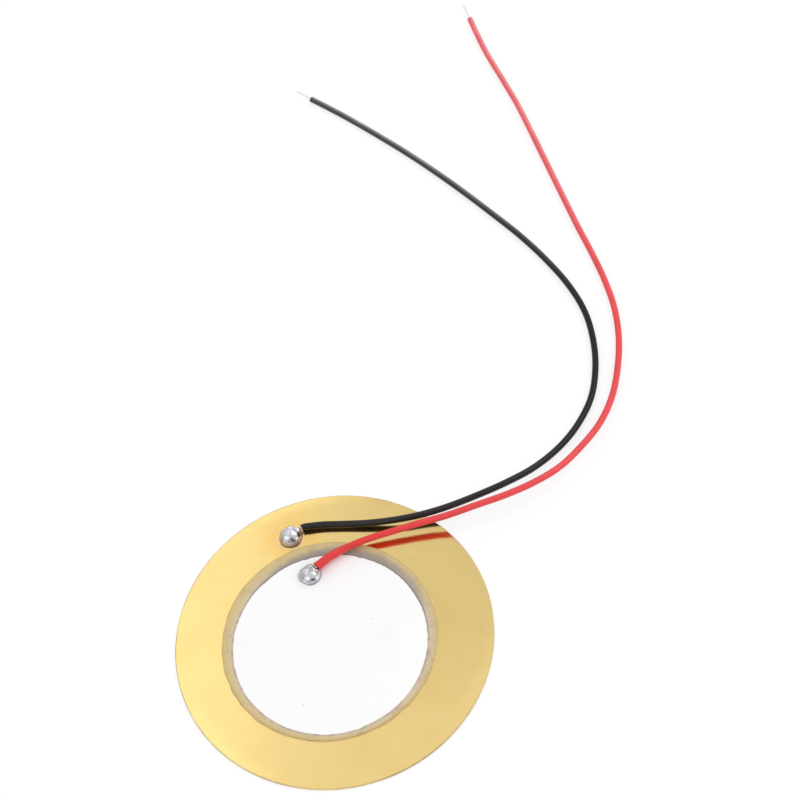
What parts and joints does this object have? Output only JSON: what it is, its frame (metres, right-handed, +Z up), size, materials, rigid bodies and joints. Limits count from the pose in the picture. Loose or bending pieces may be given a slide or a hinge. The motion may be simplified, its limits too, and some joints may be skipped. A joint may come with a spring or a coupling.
{
  "type": "piezo disc",
  "caption": "Thin brass disc with a bonded piezoelectric ceramic disc on top and a black and a red lead soldered on, for sensing knocks or making sound.",
  "frame": {"origin": "centre of the brass plate's underside, on the surface that the plate lies on", "axes": "+Z up through the ceramic; +Y towards the side of the plate that carries both solder joints, where the leads run off; +X to the right"},
  "size_m": [0.0571, 0.1112, 0.0032],
  "materials": {
    "plate_brass": "satin",
    "adhesive": "satin",
    "fired_silver": "matte",
    "piezo_ceramic": "matte",
    "solder": "gloss",
    "black_pvc": "satin",
    "red_pvc": "satin",
    "tinned_copper": "satin"
  },
  "bodies": {
    "root": {"brass_plate": "plate_brass", "adhesive_bond": "adhesive", "lower_electrode": "fired_silver", "ceramic_disc": "piezo_ceramic", "upper_electrode": "fired_silver", "negative_solder": "solder", "positive_solder": "solder", "black_insulation": "black_pvc", "black_conductor": "tinned_copper", "red_insulation": "red_pvc", "red_conductor": "tinned_copper"}
  },
  "joints": []
}
